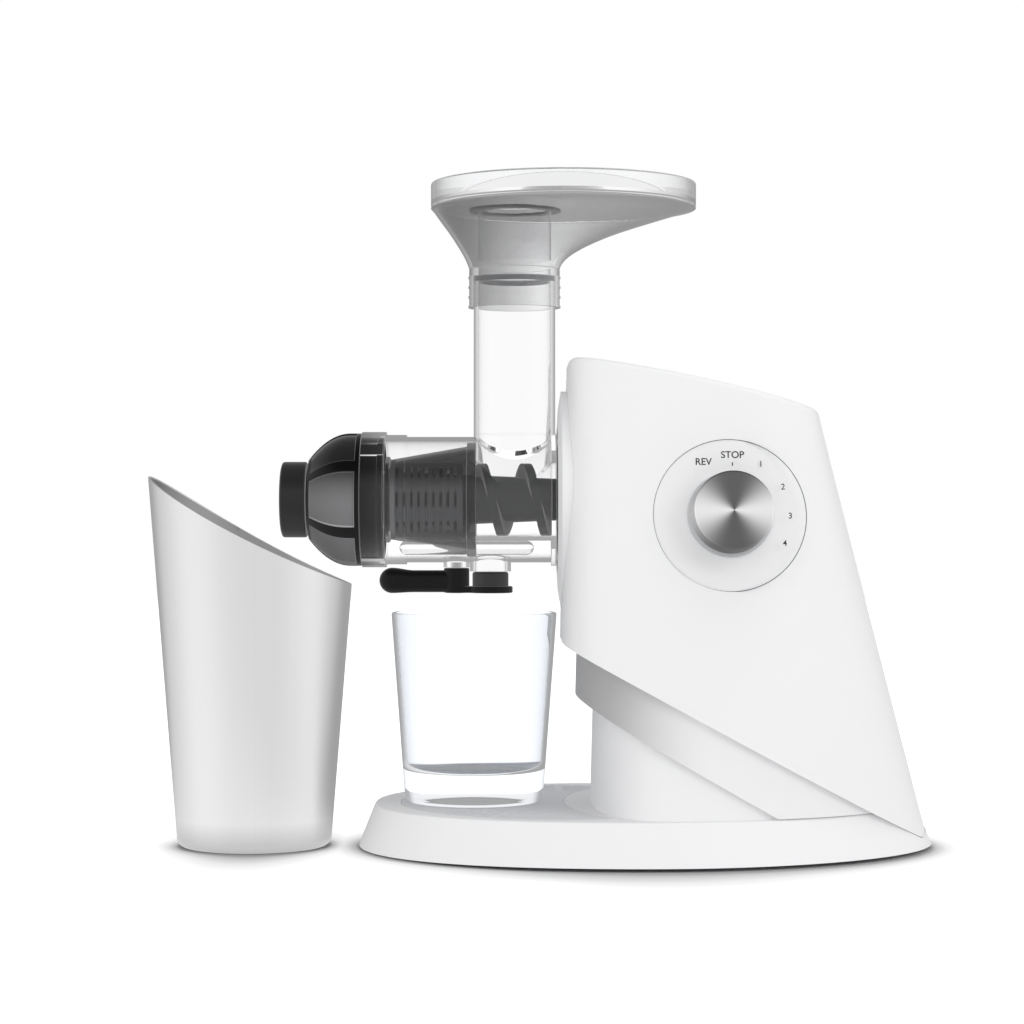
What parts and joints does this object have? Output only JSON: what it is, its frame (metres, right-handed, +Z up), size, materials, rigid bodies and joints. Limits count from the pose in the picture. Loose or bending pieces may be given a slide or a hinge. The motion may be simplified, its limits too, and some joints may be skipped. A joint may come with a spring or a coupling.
{
  "type": "cold press juicer",
  "caption": "Horizontal slow juicer with a slanted cowl, speed dial, clear drum and feed tube, geared auger drive, spout lever, drip tray, glass and slant-topped pulp cup.",
  "frame": {"origin": "on the table, under the middle of the machine together with its two containers", "axes": "+X along the drum from its pulp end to the motor end, -Y is the dial's side, +Z up"},
  "size_m": [0.4296, 0.2232, 0.3636],
  "materials": {
    "white_shell": "smooth moulded ABS with a soft gloss",
    "inner_shell": "fine matt moulded ABS",
    "plate_plastic": "matt moulded plastic",
    "foot_rubber": "matt rubber",
    "seal_rubber": "soft silicone",
    "screw_steel": "zinc-plated steel",
    "tray_grey": "matt pale grey plastic",
    "dark_plastic": "satin dark plastic",
    "clear_plastic": "clear polished copolyester",
    "smoke_plastic": "smoke-grey polished copolyester",
    "dark_smoke": "dark smoke polished copolyester",
    "auger_plastic": "polished dark engineering plastic",
    "mesh_steel": "etched stainless sheet",
    "lever_plastic": "glossy black plastic",
    "clear_glass": "clear pressed glass",
    "cup_steel": "satin stainless steel, brushed round the cup",
    "knob_steel": "face spun in circles, turned edge",
    "ring_plastic": "smooth pale plastic",
    "frame_steel": "powder-coated sheet steel",
    "case_alloy": "die-cast, as cast",
    "shaft_steel": "ground steel",
    "bearing_bronze": "sintered bronze",
    "gear_nylon": "moulded nylon",
    "gear_steel": "sintered steel",
    "can_steel": "lacquered steel",
    "winding_copper": "laminated core with enamelled copper windings",
    "fan_plastic": "moulded plastic",
    "switch_plastic": "moulded plastic",
    "board_green": "solder mask",
    "component_plastic": "moulded packages"
  },
  "bodies": {
    "base": {"base_shell": "white_shell", "pedestal": "white_shell", "base_bottom_plate": "plate_plastic", "rubber_feet": "foot_rubber", "base_screws": "screw_steel", "inner_body": "inner_shell", "cowl": "white_shell", "front_bezel": "white_shell", "drum_socket": "dark_plastic", "shaft_seal": "seal_rubber", "chassis_frame": "frame_steel", "gearbox_front": "case_alloy", "gearbox_rear": "case_alloy", "gearbox_screws": "screw_steel", "gear_axles": "shaft_steel", "output_bearings": "bearing_bronze", "motor_can": "can_steel", "motor_bells": "case_alloy", "motor_bearings": "bearing_bronze", "stator": "winding_copper", "motor_cushion": "seal_rubber", "rotary_switch": "switch_plastic", "switch_nut": "screw_steel", "control_board": "board_green", "board_components": "component_plastic", "cord_gland": "foot_rubber"},
    "knob": {"speed_knob": "knob_steel", "knob_ring": "ring_plastic", "switch_shaft": "shaft_steel"},
    "motor_rotor": {"rotor": "shaft_steel", "motor_pinion": "gear_steel", "cooling_fan": "fan_plastic"},
    "first_gear": {"first_gear": "gear_nylon"},
    "second_gear": {"second_gear": "gear_steel"},
    "output": {"output_shaft": "shaft_steel", "output_gear": "gear_steel"},
    "drum": {"drum": "clear_plastic", "feed_tube": "clear_plastic", "drum_seal": "seal_rubber", "screen_frame": "smoke_plastic", "screen_mesh": "mesh_steel", "lever_pin": "screw_steel"},
    "auger": {"auger": "auger_plastic", "auger_seal": "seal_rubber"},
    "end_cap": {"end_cap": "dark_smoke", "nozzle_seal": "seal_rubber"},
    "nozzle": {"pulp_nozzle": "dark_smoke"},
    "lever": {"spout_lever": "lever_plastic", "spout_seal": "seal_rubber"},
    "hopper": {"hopper_funnel": "smoke_plastic", "hopper_seal": "seal_rubber"},
    "hopper_dish": {"hopper_tray": "smoke_plastic"},
    "drip_tray": {"drip_tray": "tray_grey"},
    "glass": {"juice_glass": "clear_glass"},
    "pulp_cup": {"pulp_cup": "cup_steel"}
  },
  "joints": [
    {"name": "knob_turn", "type": "hinge", "parent": "base", "child": "knob", "pos_m": [0.09884, -0.0719, 0.1815], "axis": [0.0517, -0.9863, 0.1564], "range_deg": [-128, 36]},
    {"name": "motor_spin", "type": "hinge", "parent": "base", "child": "motor_rotor", "pos_m": [0.08804, 0, 0.11942], "axis": [1, 0, 0], "continuous": true},
    {"name": "first_gear_spin", "type": "hinge", "parent": "base", "child": "first_gear", "pos_m": [0.06304, 0.02205, 0.14261], "axis": [1, 0, 0], "continuous": true},
    {"name": "second_gear_spin", "type": "hinge", "parent": "base", "child": "second_gear", "pos_m": [0.05804, -0.01488, 0.14912], "axis": [1, 0, 0], "continuous": true},
    {"name": "output_spin", "type": "hinge", "parent": "base", "child": "output", "pos_m": [0.03804, 0, 0.19], "axis": [1, 0, 0], "continuous": true},
    {"name": "drum_slide", "type": "slide", "parent": "base", "child": "drum", "axis": [-1, 0, 0], "range_m": [0, 0.0135]},
    {"name": "auger_spin", "type": "hinge", "parent": "drum", "child": "auger", "pos_m": [-0.03196, 0, 0.19], "axis": [1, 0, 0], "continuous": true},
    {"name": "end_cap_turn", "type": "hinge", "parent": "drum", "child": "end_cap", "pos_m": [-0.09696, 0, 0.19], "axis": [1, 0, 0], "range_deg": [0, 40]},
    {"name": "nozzle_turn", "type": "hinge", "parent": "end_cap", "child": "nozzle", "pos_m": [-0.13696, 0, 0.19], "axis": [1, 0, 0], "range_deg": [0, 180]},
    {"name": "lever_swing", "type": "hinge", "parent": "drum", "child": "lever", "pos_m": [-0.04556, 0, 0.145], "axis": [0, 0, 1], "range_deg": [0, 90]},
    {"name": "hopper_lift", "type": "slide", "parent": "drum", "child": "hopper", "axis": [0, 0, 1], "range_m": [0, 0.022]},
    {"name": "hopper_dish_lift", "type": "slide", "parent": "hopper", "child": "hopper_dish", "axis": [0, 0, 1], "range_m": [0, 0.03]},
    {"name": "drip_tray_lift", "type": "slide", "parent": "base", "child": "drip_tray", "axis": [0, 0, 1], "range_m": [0, 0.006]},
    {"name": "glass_slide", "type": "slide", "parent": "drip_tray", "child": "glass", "axis": [0, -1, 0], "range_m": [0, 0.16]},
    {"name": "pulp_cup_slide", "type": "slide", "parent": "base", "child": "pulp_cup", "axis": [-1, 0, 0], "range_m": [0, 0.12]}
  ],
  "couplings": [
    {"joint": "first_gear_spin", "follows": "motor_spin", "ratio": -0.28},
    {"joint": "second_gear_spin", "follows": "motor_spin", "ratio": 0.085217},
    {"joint": "output_spin", "follows": "motor_spin", "ratio": -0.027115},
    {"joint": "auger_spin", "follows": "motor_spin", "ratio": -0.027115}
  ]
}
